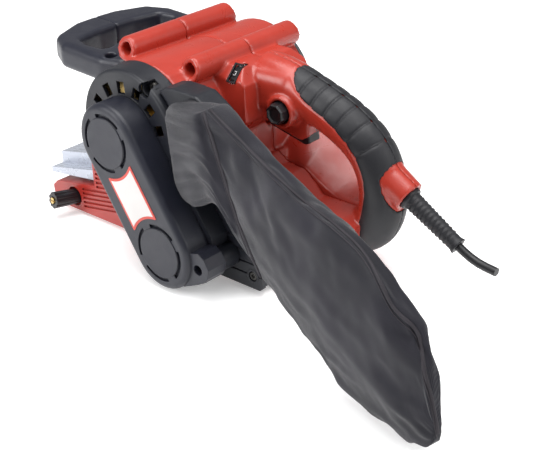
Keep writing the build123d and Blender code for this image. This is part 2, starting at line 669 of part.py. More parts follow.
def guard_plate():
    """Bright pressed cover over the front roller with a side flange and a step."""
    x0, x1 = 76.0, GUARD_TIP[0]
    t = GUARD_SHEET

    def sheet(xa, xb, rise, thick, y0, y1):
        low_a, low_b = guard_z(xa) + rise - thick, guard_z(xb) + rise - thick
        return side_plate(((xa, low_a), (xb, low_b), (xb, low_b + thick), (xa, low_a + thick)), y0, y1)

    edge = guard_z(x1)
    flange = side_plate(((x0, guard_z(x0) - 8.6), (x1, edge - 4.3), (x1, edge), (x0, guard_z(x0))), 58.5, 60)
    front = side_plate(((x1 - t, edge - 4.3), (x1, edge - 4.3), (x1, edge), (x1 - t, edge)), 48, 60)
    ledge = sheet(x0, x1, 0, t, 47, 60)
    riser = sheet(x0, x1, GUARD_STEP, GUARD_STEP + t, 47, 48.5)
    riser += sheet(GUARD_REAR, x0 + 1, GUARD_STEP, GUARD_STEP - 3, 47, 48.4)
    top = sheet(GUARD_REAR, x1, GUARD_STEP, t, -44, 48.5)
    lip = edge + GUARD_STEP
    nose = side_plate(((x1 - t, edge + 2), (x1, edge + 2), (x1, lip), (x1 - t, lip)), -44, 48.5)
    return flange + front + ledge + riser + top + nose


# ---- motor ------------------------------------------------------------------------
SHAFT_R = 4.0
CORE_R = 19.5
SLOTS = 12
FAN_R = 33.0


def polar(count, radius, y0, y1, r, phase=0.0):
    """Round rods set out on a circle about the motor axis."""
    body = None
    for i in range(count):
        a = math.radians(phase + 360 * i / count)
        item = rod(radius * math.cos(a), MOTOR_Z + radius * math.sin(a), y0, y1, r)
        body = item if body is None else body + item
    return body


def armature_shaft():
    return rod(0, MOTOR_Z, -47.0, 102, SHAFT_R) + rod(0, MOTOR_Z, -39, 69.5, SHAFT_R + 1)


def armature_core():
    body = rod(0, MOTOR_Z, -14, 36, CORE_R) - rod(0, MOTOR_Z, -20, 40, SHAFT_R + 1.02)
    body -= polar(SLOTS, 15.6, -15, 37, 2.6)
    for i in range(SLOTS):
        angle = 360 / SLOTS * i
        a = math.radians(angle)
        place = Pos(18.5 * math.cos(a), 11, MOTOR_Z + 18.5 * math.sin(a)) * Rotation(0, -angle, 0)
        body -= place * Box(4, 52, 1.4)
    return body


def armature_windings():
    body = polar(SLOTS, 15.6, -16, 38, 2.5)
    for y0, y1 in ((-22, -14.1), (36.1, 44)):
        hoop = rod(0, MOTOR_Z, y0, y1, 18.3)
        hoop = fillet(hoop.edges(), 2.2)
        body += hoop
    return body - rod(0, MOTOR_Z, -30, 50, SHAFT_R + 1.04)


def commutator():
    body = rod(0, MOTOR_Z, -38, -24, 11.5) - rod(0, MOTOR_Z, -40, -20, SHAFT_R + 1.02)
    for i in range(24):
        angle = 15.0 * i
        a = math.radians(angle)
        place = Pos(11.4 * math.cos(a), -31, MOTOR_Z + 11.4 * math.sin(a)) * Rotation(0, -angle, 0)
        body -= place * Box(1.6, 20, 0.5)
    return body


def cooling_fan():
    body = rod(0, MOTOR_Z, 50, 52, FAN_R) + rod(0, MOTOR_Z, 50, 62, 10)
    for i in range(11):
        angle = 360 / 11 * i
        a = math.radians(angle)
        place = Pos(22 * math.cos(a), 57, MOTOR_Z + 22 * math.sin(a)) * Rotation(0, -angle - 22, 0)
        body += place * Box(25, 10, 1.6) & rod(0, MOTOR_Z, 50, 62, FAN_R)
    return body - rod(0, MOTOR_Z, 40, 70, SHAFT_R + 1.02)


def stator_core():
    body = rod(0, MOTOR_Z, -12, 34, STATOR_R) - rod(0, MOTOR_Z, -20, 40, 20.5)
    return body - coil_windows(-13, 35, 21.6, 29.4, 2, 40)


def coil_windows(y0, y1, r_in, r_out, a0, a1):
    """Sectors each side of both poles, between two radii."""
    body = None
    for base in (0, 180):
        for sign in (-1, 1):
            points = [(0, MOTOR_Z)]
            for s in range(5):
                a = math.radians(base + sign * (a0 + (a1 - a0) * s / 4))
                points.append((50 * math.cos(a), MOTOR_Z + 50 * math.sin(a)))
            piece = side_plate(points, y0, y1) & ring(0, MOTOR_Z, y0 - 1, y1 + 1, r_out, r_in)
            body = piece if body is None else body + piece
    return body


def field_coils():
    legs = coil_windows(-21, 43, 22.0, 29.0, 3, 39)
    ends = ring(0, MOTOR_Z, -21, -12.3, 29.0, 22.0) + ring(0, MOTOR_Z, 34.3, 43, 29.0, 22.0)
    gap = block(-60, 60, -40, 60, MOTOR_Z - 1.4, MOTOR_Z + 1.4)
    return legs + ends - gap


def bearing_bracket():
    body = rod(0, MOTOR_Z, 70.0, 72.4, 44.3) + rod(0, MOTOR_Z, 70, 79, 15)
    body -= rod(0, MOTOR_Z, 71.0, 85, 11.02) + rod(0, MOTOR_Z, 60, 85, 6.0)
    body -= polar(8, 25, 69, 75, 5.0)
    return body - rod(CAP_SCREW[0], CAP_SCREW[1], 60, 90, 7.1)


def bearing(x, z, y0, width, r_out, r_in):
    """Sealed ball bearing with a shield groove on both faces."""
    body = ring(x, z, y0, y0 + width, r_out, r_in)
    mid = (r_out + r_in) / 2
    for ya, yb in ((y0 - 1, y0 + 0.5), (y0 + width - 0.5, y0 + width + 1)):
        body -= ring(x, z, ya, yb, mid + 1.6, mid - 1.6)
    return body


def motor_bearings():
    return [bearing(0, MOTOR_Z, y, 6.4, 10.98, SHAFT_R + GAP) for y in (-46.9, 71.1)]


def drum_bearings():
    return [bearing(DRUM_X, DRUM_Z, y, 8, BEARING_OD_R, DRUM_SHAFT_R + GAP) for y in (44.0, 61.0)]


BRUSH_Y = -31.0


def brush_holders():
    parts = []
    for side in (-1, 1):
        x0, x1 = sorted((side * 13.0, side * 40.0))
        body = block(x0, x1, BRUSH_Y - 5.5, BRUSH_Y + 5.5, MOTOR_Z - 4.5, MOTOR_Z + 4.5)
        body -= block(x0 - 1, x1 + 1, BRUSH_Y - 4.05, BRUSH_Y + 4.05, MOTOR_Z - 3.05, MOTOR_Z + 3.05)
        xc0, xc1 = sorted((side * 40.0, side * 41.6))
        body += block(xc0, xc1, BRUSH_Y - 5.5, BRUSH_Y + 5.5, MOTOR_Z - 4.5, MOTOR_Z + 4.5)
        parts.append(body)
    return parts


def carbon_brushes():
    parts = []
    for side in (-1, 1):
        x0, x1 = sorted((side * 11.0, side * 26.0))
        body = block(x0, x1, BRUSH_Y - 4, BRUSH_Y + 4, MOTOR_Z - 3, MOTOR_Z + 3)
        parts.append(body - rod(0, MOTOR_Z, -50, 0, 11.56))
    return parts


def coil_spring(start, end, radius, wire, turns):
    """Compression spring between two points."""
    a, b = Vector(start), Vector(end)
    length = (b - a).length - 2 * wire
    plane = Plane(origin=a + (b - a).normalized() * wire, z_dir=b - a)
    path = Helix(pitch=length / turns, height=length, radius=radius)
    section = Plane(origin=path @ 0, z_dir=path % 0) * Circle(wire)
    return plane * sweep(section, path=path)


def brush_springs():
    springs = []
    for side in (-1, 1):
        ends = [(side * x, BRUSH_Y, MOTOR_Z) for x in (26.3, 39.7)]
        springs.append(coil_spring(ends[0], ends[1], 2.2, 0.3, 7))
    return springs


# ---- drive train --------------------------------------------------------------------
PULLEY_Y = (89.5, 101.0)
DRUM_SHAFT_R = 6.0


def motor_pulley():
    body = toothed(0, MOTOR_Z, PULLEY_Y[0], PULLEY_Y[1], MOTOR_TEETH)
    for y0 in (PULLEY_Y[0] - 1, PULLEY_Y[1]):
        body += rod(0, MOTOR_Z, y0, y0 + 1, 9.5)
    return body - rod(0, MOTOR_Z, 80, 110, SHAFT_R + 0.02)


def drum_pulley():
    body = toothed(DRUM_X, DRUM_Z, PULLEY_Y[0], PULLEY_Y[1], DRUM_TEETH)
    for i in range(5):
        a = math.radians(72 * i)
        body -= rod(DRUM_X + 13.5 * math.cos(a), DRUM_Z + 13.5 * math.sin(a), 80, 110, 3.6)
    return body - rod(DRUM_X, DRUM_Z, 80, 110, DRUM_SHAFT_R + 0.02)


def wrap(circles, y0, y1):
    """Prism along Y over the hull of circles given as (x, z, r)."""
    edges = []
    for x, z, r in circles:
        edges += (Pos(x, z) * Circle(r)).edges()
    face = make_hull(edges)
    plane = Plane(origin=(0, y0, 0), x_dir=(1, 0, 0), z_dir=(0, -1, 0))
    return extrude(plane * face, amount=y1 - y0, dir=(0, 1, 0))


def drive_belt():
    tips = [(0, MOTOR_Z, MOTOR_TEETH), (DRUM_X, DRUM_Z, DRUM_TEETH)]
    inner = [(x, z, teeth * PULLEY_PITCH / (2 * math.pi) - 0.3 + GAP) for x, z, teeth in tips]
    outer = [(x, z, r + 1.6) for x, z, r in inner]
    return wrap(outer, PULLEY_Y[0] + 0.6, PULLEY_Y[1] - 0.6) - wrap(inner, PULLEY_Y[0], PULLEY_Y[1])


def drum_shaft():
    body = rod(DRUM_X, DRUM_Z, -36, 102, DRUM_SHAFT_R)
    return body + rod(DRUM_X, DRUM_Z, 38.2, 43.8, 8.0)


def drive_drum():
    body = rod(DRUM_X, DRUM_Z, -38, 38, DRUM_R - 2) - ring(DRUM_X, DRUM_Z, -39, -8, DRUM_R - 5, 10) \
        - ring(DRUM_X, DRUM_Z, 8, 39, DRUM_R - 5, 10)
    for i in range(6):
        a = math.radians(60 * i)
        body -= rod(DRUM_X + 16.8 * math.cos(a), DRUM_Z + 16.8 * math.sin(a), -20, 20, 4.2)
    return body - rod(DRUM_X, DRUM_Z, -50, 50, DRUM_SHAFT_R + 0.02)


def drum_lagging():
    return ring(DRUM_X, DRUM_Z, -38, 38, DRUM_R, DRUM_R - 1.98)


def sanding_belt():
    axes = ((DRUM_X, DRUM_Z, DRUM_R), (ROLLER_X, ROLLER_Z, ROLLER_R))
    inner = [(x, z, r + 0.02) for x, z, r in axes]
    outer = [(x, z, r + BELT_T) for x, z, r in axes]
    half = BELT_WIDTH / 2
    return wrap(outer, -half, half) - wrap(inner, -half - 1, half + 1)


# ---- front roller, fork and tension gear -----------------------------------------------
AXLE_R = 4.0
FORK_PIVOT = (78.5, 0.0)


def front_roller():
    half = 37.0
    crown = 0.7
    profile = Polyline((0, -half), (ROLLER_R - crown, -half))
    bulge = ThreePointArc((ROLLER_R - crown, -half), (ROLLER_R, 0), (ROLLER_R - crown, half))
    close_line = Polyline((ROLLER_R - crown, half), (0, half), (0, -half))
    face = make_face(profile + bulge + close_line)
    body = revolve(face, axis=Axis.Y)
    body -= Rotation(90, 0, 0) * Cylinder(AXLE_R + GAP, 100)
    return Pos(ROLLER_X, 0, ROLLER_Z) * body


def roller_axle():
    return rod(ROLLER_X, ROLLER_Z, -41.4, 41.4, AXLE_R)


def roller_fork():
    """Yoke that carries the axle and swings a little for tracking."""
    body = block(74.5, 81.5, -41, 41, 14.5, 27.5)
    for side in (-1, 1):
        y0, y1 = sorted((side * 38.3, side * 41.2))
        body += block(74.5, ROLLER_X, y0, y1, 14.5, 27.5) + rod(ROLLER_X, ROLLER_Z, y0, y1, 8)
    body -= rod(ROLLER_X, ROLLER_Z, -60, 60, AXLE_R + 0.02)
    body -= block(70, 90, -9.6, 9.6, 17.4, 24.6)
    return body - rod_z(FORK_PIVOT[0], FORK_PIVOT[1], 10, 40, 2.56)


def tension_slider():
    """Guided stem that pushes the fork forward."""
    body = block(46.5, 82.0, -9.0, 9.0, 17.6, 24.4) + block(46.5, 69.5, -9.0, 9.0, 14, 28)
    body -= rod_x(40, 52, 0, 21, 4.0)
    body += rod_z(FORK_PIVOT[0], FORK_PIVOT[1], 14.6, 27.4, 2.5)
    return body


def tension_spring():
    return coil_spring((20.3, 0, 21), (51.6, 0, 21), 3.0, 0.55, 8)


def tension_lever():
    """Flat lever on the right, pulled outwards to slacken the belt."""
    body = rod_z(30, -33.5, 14, 30.4, 5.5)
    plan = ((27, -36), (33, -36), (35, -44.6), (-14, -45.6), (-16, -42.4), (22, -41.4))
    plate = plan_plate(plan, 16, 29)
    plate = fillet(plate.edges().filter_by(Axis.Z), 1.2)
    body += plate
    return body - rod_z(30, -33.5, 0, 40, 2.56)


def lever_pin():
    return rod_z(30, -33.5, 4.0, 30.9, 2.5)


def sole_plate():
    body = block(PLATEN[0], PLATEN[1], -36, 36, 2.3, 3.8)
    for x in (0, 60):
        for y in (25, -22):
            body -= rod_z(x, y, 0, 5, 1.95)
    return body


def sole_pad():
    return block(PLATEN[0], PLATEN[1], -36, 36, 1.06, 2.25)


def sole_screws():
    return [rod_z(x, y, 2.32, 14, 1.9) for x in (0, 60) for y in (25, -22)]


# ---- controls -----------------------------------------------------------------------------
def tracking_knob():
    plane = Plane(origin=KNOB_BASE - KNOB_DIR * 3.0, z_dir=KNOB_DIR)
    body = Solid.make_cone(6.0, 6.6, 22.6, plane)
    for i in range(9):
        a = math.radians(40 * i)
        flute = plane * Pos(7.3 * math.cos(a), 7.3 * math.sin(a), 12) * Cylinder(1.5, 30)
        body -= flute
    body = body - Solid.make_cylinder(3.2, 3.0, Plane(origin=plane.origin + KNOB_DIR * 20.4, z_dir=KNOB_DIR))
    return body - Solid.make_cylinder(2.52, 60, Plane(origin=plane.origin - KNOB_DIR * 5, z_dir=KNOB_DIR))


def tracking_screw():
    start = KNOB_BASE - KNOB_DIR * 21.4
    body = Solid.make_cylinder(2.5, 42.0, Plane(origin=start, z_dir=KNOB_DIR))
    tip = KNOB_BASE + KNOB_DIR * 20.6
    body -= Plane(origin=tip, z_dir=KNOB_DIR) * Box(7, 0.8, 1.6)
    return body


def trigger():
    outline = ((-48.0, 108.4), (-47.5, 100.5), (-55, 98), (-62, 95.0), (-93, 87.5), (-97, 89.5), (-96, 98),
               (-84, 106), (-78, 110), (-68, 110), (-60, 109.5))
    body = side_plate(outline, -5.9, 5.9)
    body = fillet(body.edges().filter_by(Axis.Y).sort_by(Axis.Z)[:4], 1.0)
    return body + rod(TRIGGER_PIN[0], TRIGGER_PIN[1], -8.4, 8.4, TRIGGER_PIN_R)


def lock_button():
    body = rod(LOCK_POS[0], LOCK_POS[1], 12.8, 26.0, LOCK_R)
    return fillet(body.edges().sort_by(Axis.Y)[-1], 1.8)


def switch_body():
    return block(*SWITCH_BOX)


def speed_board():
    return block(-58.8, -48, -20, 8, 111, 128)


def cord_sleeve():
    """Strain relief boot on the cable."""
    plane = Plane(origin=COLLAR_END, z_dir=CABLE_DIR)
    body = Solid.make_cylinder(7.3, 14, Plane(origin=COLLAR_END - CABLE_DIR * 12, z_dir=CABLE_DIR))
    body += bar(COLLAR_END - CABLE_DIR * 1.2, COLLAR_END + CABLE_DIR * 2.0, SLEEVE_ROOT_R)
    body += Solid.make_cone(6.6, 5.4, 43.0, plane)
    body += Solid.make_cone(5.2, 6.4, 3.6, Plane(origin=COLLAR_END + CABLE_DIR * 42.5, z_dir=CABLE_DIR))
    return body - Solid.make_cylinder(3.06, 70, Plane(origin=COLLAR_END - CABLE_DIR * 15, z_dir=CABLE_DIR))


def power_cable():
    start = COLLAR_END - CABLE_DIR * 30
    exit_point = COLLAR_END + CABLE_DIR * 47
    bend = exit_point + Vector(-14, 0, -6.4)
    end = exit_point + Vector(-29, 0, -8.8)
    path = Line(start, exit_point)
    path += Spline(exit_point, bend, end, tangents=(CABLE_DIR, Vector(-0.99, 0, -0.12)))
    section = Plane(origin=start, z_dir=CABLE_DIR) * Circle(3.0)
    return sweep(section, path=path)


def cord_clamp():
    mid = COLLAR_END - CABLE_DIR * 24.5
    plane = Plane(origin=mid, x_dir=(0, 1, 0), z_dir=CABLE_DIR)
    return plane * Pos(0, 5.7, 0) * Box(14, 4.6, 5)


# ---- fasteners -----------------------------------------------------------------------------
def case_screws():
    """All the pan-head screws that hold the plastic and the covers together."""
    out = (0, 1, 0)
    screws = [screw(x, y, z, direction) for x, y, z, direction in housing_screw_places()]
    screws.append(screw(EAR[0], EAR_SEAT, EAR[1], out))
    screws.append(screw(CAP_SCREW[0], 76, CAP_SCREW[1], out, length=14))
    screws += [screw(x, PLATE_FACE - 2.6, z, out, length=8) for x, z in SIDE_SCREWS]
    screws += [screw(x, y, 124, (0, 0, 1), length=8) for x, y in FRONT_HANDLE_SCREWS]
    return screws


# ---- assembly ------------------------------------------------------------------------------
def as_group(shapes):
    return Compound(children=list(shapes))


def assemble():
    housing = housing_solid()
    rubber = grip_rubber()
    handle = front_handle_solid()
    for x, y, z, direction in housing_screw_places():
        rubber -= screw_hole(x, y, z, direction)
    nodes = {
        "motor_housing_left": left_half(housing),
        "motor_housing_right": right_half(housing),
        "handle_grip_left": left_half(rubber),
        "handle_grip_right": right_half(rubber),
        "front_handle_left": left_half(handle),
        "front_handle_right": right_half(handle),
        "vented_end_cap": vented_end_cap(),
        "right_end_cap": right_end_cap(),
        "drive_cover": drive_cover(),
        "rating_label": rating_label(),
        "drive_housing": drive_housing(),
        "side_cover": side_cover(),
        "dust_chamber": dust_chamber(),
        "dust_duct": dust_duct(),
        "bag_collar": bag_collar(),
        "dust_bag": dust_bag(),
        "base_frame": base_frame(),
        "guard_plate": guard_plate(),
        "armature_shaft": armature_shaft(),
        "armature_core": armature_core(),
        "armature_windings": armature_windings(),
        "commutator": commutator(),
        "cooling_fan": cooling_fan(),
        "stator_core": stator_core(),
        "field_coils": field_coils(),
        "bearing_bracket": bearing_bracket(),
        "motor_bearings": as_group(motor_bearings()),
        "brush_holders": as_group(brush_holders()),
        "carbon_brushes": as_group(carbon_brushes()),
        "brush_springs": as_group(brush_springs()),
        "motor_pulley": motor_pulley(),
        "drum_pulley": drum_pulley(),
        "drive_belt": drive_belt(),
        "drum_shaft": drum_shaft(),
        "drum_bearings": as_group(drum_bearings()),
        "drive_drum": drive_drum(),
        "drum_lagging": drum_lagging(),
        "sanding_belt": sanding_belt(),
        "front_roller": front_roller(),
        "roller_axle": roller_axle(),
        "roller_fork": roller_fork(),
        "tension_slider": tension_slider(),
        "tension_spring": tension_spring(),
        "tension_lever": tension_lever(),
        "lever_pin": lever_pin(),
        "sole_plate": sole_plate(),
        "sole_pad": sole_pad(),
        "tracking_knob": tracking_knob(),
        "tracking_screw": tracking_screw(),
        "trigger": trigger(),
        "lock_button": lock_button(),
        "switch_body": switch_body(),
        "speed_dial": speed_dial(),
        "dial_bezel": dial_bezel(),
        "cord_sleeve": cord_sleeve(),
        "power_cable": power_cable(),
        "cord_clamp": cord_clamp(),
        "speed_board": speed_board(),
        "case_screws": as_group(case_screws()),
        "sole_screws": as_group(sole_screws()),
    }
    return nodes


for node, shape in assemble().items():
    save(shape, node)
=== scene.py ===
import math
import random

import bmesh
import bpy
from mathutils import Matrix, Vector, bvhtree, noise


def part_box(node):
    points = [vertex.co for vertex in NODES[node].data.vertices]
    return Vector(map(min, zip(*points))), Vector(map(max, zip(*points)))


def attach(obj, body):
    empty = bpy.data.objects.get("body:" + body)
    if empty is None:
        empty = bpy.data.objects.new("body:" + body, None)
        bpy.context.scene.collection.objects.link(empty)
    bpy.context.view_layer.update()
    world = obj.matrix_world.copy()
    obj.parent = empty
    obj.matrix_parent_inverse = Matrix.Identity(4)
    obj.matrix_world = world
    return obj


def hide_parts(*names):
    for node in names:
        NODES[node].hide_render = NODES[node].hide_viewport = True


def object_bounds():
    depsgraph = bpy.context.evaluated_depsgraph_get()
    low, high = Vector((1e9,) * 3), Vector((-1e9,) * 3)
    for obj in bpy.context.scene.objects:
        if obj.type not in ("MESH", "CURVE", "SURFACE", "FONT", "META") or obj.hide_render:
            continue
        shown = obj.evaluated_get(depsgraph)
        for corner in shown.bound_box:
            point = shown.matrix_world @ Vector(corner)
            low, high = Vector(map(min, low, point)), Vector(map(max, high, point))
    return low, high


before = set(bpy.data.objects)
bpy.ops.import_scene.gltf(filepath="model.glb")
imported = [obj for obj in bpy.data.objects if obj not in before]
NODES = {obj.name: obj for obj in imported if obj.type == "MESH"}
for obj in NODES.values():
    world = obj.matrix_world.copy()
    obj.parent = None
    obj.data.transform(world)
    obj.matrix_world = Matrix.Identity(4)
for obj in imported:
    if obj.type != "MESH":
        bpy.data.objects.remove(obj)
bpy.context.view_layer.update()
MM = 0.001                      # metres per millimetre
ROOT = "sander_body"            # the body that doesn't move
VIEW_DIR = Vector((0.6147, -0.6481, -0.4495))   # the way the camera looks


# ---------------------------------------------------------------- materials
def new_material(name):
    mat = bpy.data.materials.new(name)
    mat.use_nodes = True
    nt = mat.node_tree
    nt.nodes.clear()
    out = nt.nodes.new("ShaderNodeOutputMaterial")
    bsdf = nt.nodes.new("ShaderNodeBsdfPrincipled")
    nt.links.new(bsdf.outputs[0], out.inputs[0])
    return mat, nt, bsdf


def texture(nt, kind, scale, detail=3.0, distort=0.0, stretch=(1, 1, 1)):
    coord = nt.nodes.new("ShaderNodeTexCoord")
    mapping = nt.nodes.new("ShaderNodeMapping")
    mapping.inputs["Scale"].default_value = stretch
    nt.links.new(coord.outputs["Object"], mapping.inputs[0])
    node = nt.nodes.new(kind)
    node.inputs["Scale"].default_value = scale
    if "Detail" in node.inputs:
        node.inputs["Detail"].default_value = detail
    if "Distortion" in node.inputs:
        node.inputs["Distortion"].default_value = distort
    nt.links.new(mapping.outputs[0], node.inputs["Vector"])
    return node


def ramp(nt, source, low, high, p0=0.35, p1=0.65):
    node = nt.nodes.new("ShaderNodeValToRGB")
    node.color_ramp.elements[0].position = p0
    node.color_ramp.elements[1].position = p1
    node.color_ramp.elements[0].color = low
    node.color_ramp.elements[1].color = high
    nt.links.new(source, node.inputs[0])
    return node


def grey(v):
    return (v, v, v, 1.0)


def surface(name, color, rough, metal=0.0, grain=900.0, bump=0.12, edge=0.0006, vary=0.06, spread=0.06,
            coat=0.0, stretch=(1, 1, 1), spec=0.5, kind="ShaderNodeTexNoise", bump_distance=0.0003):
    """Procedural finish: colour and roughness drift, fine grain bump and rounded edges."""
    mat, nt, bsdf = new_material(name)
    drift = texture(nt, "ShaderNodeTexNoise", 28.0, 4.0, 0.4)
    c = Vector(color)
    low = tuple(max(0.0, v * (1 - vary)) for v in c) + (1.0,)
    high = tuple(min(1.0, v * (1 + vary)) for v in c) + (1.0,)
    tint = ramp(nt, drift.outputs[0], low, high)
    nt.links.new(tint.outputs[0], bsdf.inputs["Base Color"])
    wear = texture(nt, "ShaderNodeTexNoise", 90.0, 6.0, 0.8, stretch)
    shade = ramp(nt, wear.outputs[0], grey(max(0.02, rough - spread)), grey(min(1.0, rough + spread)))
    nt.links.new(shade.outputs[0], bsdf.inputs["Roughness"])
    bsdf.inputs["Metallic"].default_value = metal
    bsdf.inputs["Specular IOR Level"].default_value = spec
    bsdf.inputs["Coat Weight"].default_value = coat
    bsdf.inputs["Coat Roughness"].default_value = 0.25
    fine = texture(nt, kind, grain, 2.0, 0.0, stretch)
    height = nt.nodes.new("ShaderNodeBump")
    height.inputs["Strength"].default_value = bump
    height.inputs["Distance"].default_value = bump_distance
    nt.links.new(fine.outputs[0], height.inputs["Height"])
    if edge:
        bevel = nt.nodes.new("ShaderNodeBevel")
        bevel.samples = 4
        bevel.inputs["Radius"].default_value = edge
        nt.links.new(bevel.outputs[0], height.inputs["Normal"])
    nt.links.new(height.outputs[0], bsdf.inputs["Normal"])
    return mat


RED_METAL = surface("red_painted_casting", (0.33, 0.020, 0.013), 0.34, grain=700, bump=0.10, edge=0.0006, coat=0.20)
DARK = surface("dark_grey_plastic", (0.012, 0.013, 0.021), 0.40, grain=1500, bump=0.2, edge=0.0009, spec=0.42)
DARK_SOFT = surface("cap_grey_plastic", (0.009, 0.010, 0.015), 0.44, grain=1400, bump=0.2, edge=0.0008, spec=0.4)
BLACK = surface("black_plastic", (0.009, 0.009, 0.011), 0.36, grain=1500, bump=0.2, edge=0.0006, spec=0.4)
RUBBER = surface("rubber", (0.013, 0.013, 0.016), 0.55, grain=1900, bump=0.3, edge=0.0008, spec=0.35)
CABLE = surface("cable_sheath", (0.008, 0.008, 0.010), 0.40, grain=600, bump=0.12, edge=0.0, spec=0.4)
GUARD = surface("bright_guard", (0.46, 0.49, 0.56), 0.30, metal=0.35, grain=500, bump=0.08, edge=0.0004,
                stretch=(1, 14, 1))
STEEL = surface("turned_steel", (0.55, 0.55, 0.57), 0.28, metal=1.0, grain=900, bump=0.12, edge=0.0003,
                stretch=(1, 10, 1))
ZINC = surface("zinc_screw", (0.62, 0.60, 0.55), 0.32, metal=1.0, grain=1500, bump=0.15, edge=0.0002)
BRASS = surface("brass", (0.62, 0.44, 0.17), 0.33, metal=1.0, grain=900, bump=0.1, edge=0.0003)
COPPER = surface("copper_winding", (0.60, 0.22, 0.08), 0.35, metal=0.8, grain=500, bump=0.5, edge=0.0,
                 stretch=(8, 1, 1))
LAMINATE = surface("lamination_stack", (0.20, 0.20, 0.21), 0.42, metal=0.9, grain=500, bump=0.6, edge=0.0,
                   stretch=(0.1, 8, 0.1))
CARBON = surface("carbon", (0.03, 0.03, 0.03), 0.6, grain=1200, bump=0.2, edge=0.0002)
ALU = surface("machined_aluminium", (0.70, 0.71, 0.73), 0.30, metal=1.0, grain=700, bump=0.1, edge=0.0003,
              stretch=(1, 12, 1))
GRIT = surface("abrasive_belt", (0.20, 0.060, 0.030), 0.85, grain=1600, bump=0.9, edge=0.0, vary=0.15)
GRAPHITE = surface("graphite_pad", (0.04, 0.04, 0.045), 0.5, grain=900, bump=0.2, edge=0.0)
BOARD = surface("circuit_board", (0.02, 0.12, 0.05), 0.45, grain=400, bump=0.2, edge=0.0)
PAPER = surface("label_film", (0.55, 0.53, 0.52), 0.45, grain=700, bump=0.05, edge=0.0)
LABEL_RED = surface("label_border", (0.50, 0.05, 0.035), 0.45, grain=700, bump=0.05, edge=0.0)
RIBBED = surface("ribbed_rubber", (0.014, 0.014, 0.017), 0.50, grain=1700, bump=0.25, edge=0.0, spec=0.38)
SMOOTH_RED = surface("moulded_red", (0.37, 0.030, 0.017), 0.33, grain=1300, bump=0.14, edge=0.0, coat=0.10)
SMOOTH_DARK = surface("moulded_dark", (0.012, 0.013, 0.022), 0.38, grain=1500, bump=0.2, edge=0.0, spec=0.42)
THREAD = surface("seam_thread", (0.030, 0.027, 0.032), 0.7, grain=1500, bump=0.6, edge=0.0, spec=0.2)
DIGIT = surface("dial_number", (0.75, 0.75, 0.75), 0.5, grain=1500, bump=0.05, edge=0.0)
OXIDE = surface("dark_screw", (0.055, 0.053, 0.05), 0.35, metal=0.85, grain=1500, bump=0.15, edge=0.0002)

LOOKS = {
    LABEL_RED: ("rating_label",),
    SMOOTH_RED: ("motor_housing_left", "motor_housing_right"),
    RED_METAL: ("base_frame",),
    DARK: ("drive_cover",),
    SMOOTH_DARK: ("front_handle_left", "front_handle_right"),
    DARK_SOFT: ("vented_end_cap", "right_end_cap", "dust_duct", "side_cover", "dust_chamber", "drive_housing"),
    BLACK: ("lock_button", "trigger", "tracking_knob", "speed_dial", "dial_bezel", "switch_body", "tension_lever",
            "cooling_fan", "cord_clamp"),
    RUBBER: ("bag_collar", "drum_lagging", "drive_belt"),
    RIBBED: ("handle_grip_left", "handle_grip_right", "cord_sleeve"),
    CABLE: ("power_cable",),
    GUARD: ("guard_plate",),
    STEEL: ("armature_shaft", "drum_shaft", "roller_axle", "roller_fork", "tension_slider", "lever_pin",
            "sole_plate", "tension_spring", "brush_springs", "motor_bearings", "drum_bearings"),
    OXIDE: ("case_screws",),
    ZINC: ("sole_screws",),
    BRASS: ("bearing_bracket", "tracking_screw", "brush_holders", "commutator"),
    COPPER: ("armature_windings", "field_coils"),
    LAMINATE: ("armature_core", "stator_core"),
    CARBON: ("carbon_brushes",),
    ALU: ("drive_drum", "front_roller", "motor_pulley", "drum_pulley"),
    GRIT: ("sanding_belt",),
    GRAPHITE: ("sole_pad",),
    BOARD: ("speed_board",),
}
for mat, names in LOOKS.items():
    for name in names:
        obj = NODES[name]
        obj.data.materials.clear()
        obj.data.materials.append(mat)


# ---------------------------------------------------------------- mesh helpers
def link(obj):
    bpy.context.scene.collection.objects.link(obj)
    return obj


def make_mesh(name, verts, faces, mat, smooth=True):
    me = bpy.data.meshes.new(name)
    me.from_pydata([tuple(v) for v in verts], [], faces)
    me.validate()
    me.update()
    bm = bmesh.new()
    bm.from_mesh(me)
    bmesh.ops.recalc_face_normals(bm, faces=bm.faces[:])
    bm.to_mesh(me)
    bm.free()
    for p in me.polygons:
        p.use_smooth = smooth
    obj = link(bpy.data.objects.new(name, me))
    me.materials.append(mat)
    return obj


def modifier(obj, kind, **values):
    mod = obj.modifiers.new(kind.title(), kind)
    for key, value in values.items():
        setattr(mod, key, value)
    return mod


def apply_all(obj):
    bpy.context.view_layer.update()
    deps = bpy.context.evaluated_depsgraph_get()
    me = bpy.data.meshes.new_from_object(obj.evaluated_get(deps))
    old = obj.data
    obj.modifiers.clear()
    obj.data = me
    bpy.data.meshes.remove(old)


def catmull(points, t):
    """Point on a smooth curve through the points, t from 0 to len-1."""
    n = len(points) - 1
    i = min(int(t), n - 1)
    f = t - i
    p0, p1 = points[max(i - 1, 0)], points[i]
    p2, p3 = points[i + 1], points[min(i + 2, n)]
    return 0.5 * ((2 * p1) + (p2 - p0) * f + (2 * p0 - 5 * p1 + 4 * p2 - p3) * f * f
                  + (3 * p1 - p0 - 3 * p2 + p3) * f * f * f)


def sample_curve(points):
    """Twelve steps from each point to the next."""
    return [catmull(points, i / 12) for i in range(12 * (len(points) - 1) + 1)]


